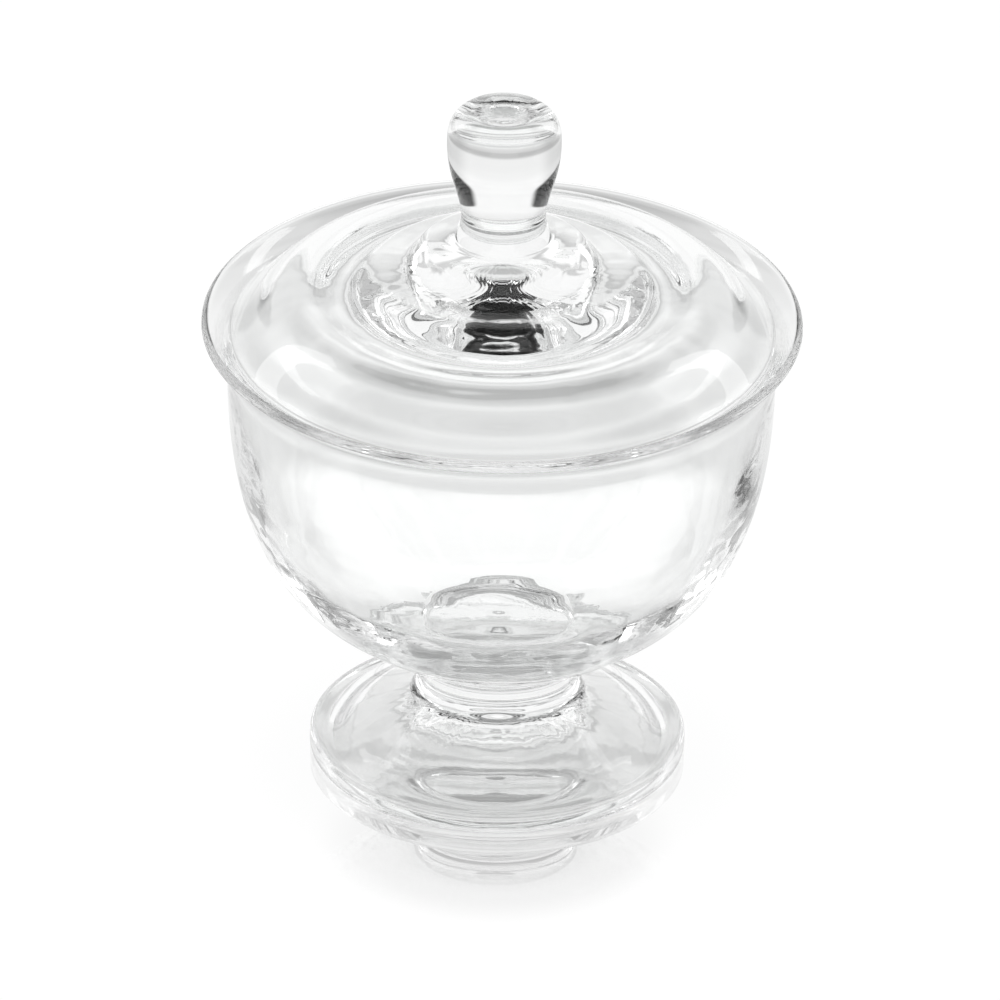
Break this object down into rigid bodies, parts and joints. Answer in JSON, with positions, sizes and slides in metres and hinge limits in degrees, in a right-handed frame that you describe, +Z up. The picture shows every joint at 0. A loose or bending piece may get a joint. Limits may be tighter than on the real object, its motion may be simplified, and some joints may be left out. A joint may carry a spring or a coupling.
{
  "type": "footed glass dappen dish with lid",
  "caption": "Clear glass footed dish with a round bowl, flared lip and domed lid with a solid knob; the lid lifts off.",
  "frame": {"origin": "middle of the ring that the foot stands on", "axes": "+Z up, along the axis of bowl, stem and knob; X and Y are any two radii, since the piece is round"},
  "size_m": [0.06, 0.06, 0.0722],
  "materials": {
    "dish_glass": "clear, polished",
    "lid_glass": "clear, polished"
  },
  "bodies": {
    "dish": {"bowl": "dish_glass", "stem": "dish_glass", "foot": "dish_glass"},
    "cover": {"lid": "lid_glass", "knob": "lid_glass"}
  },
  "joints": [
    {"name": "lid_lift", "type": "slide", "parent": "dish", "child": "cover", "axis": [0, 0, 1], "range_m": [0, 0.04]}
  ]
}
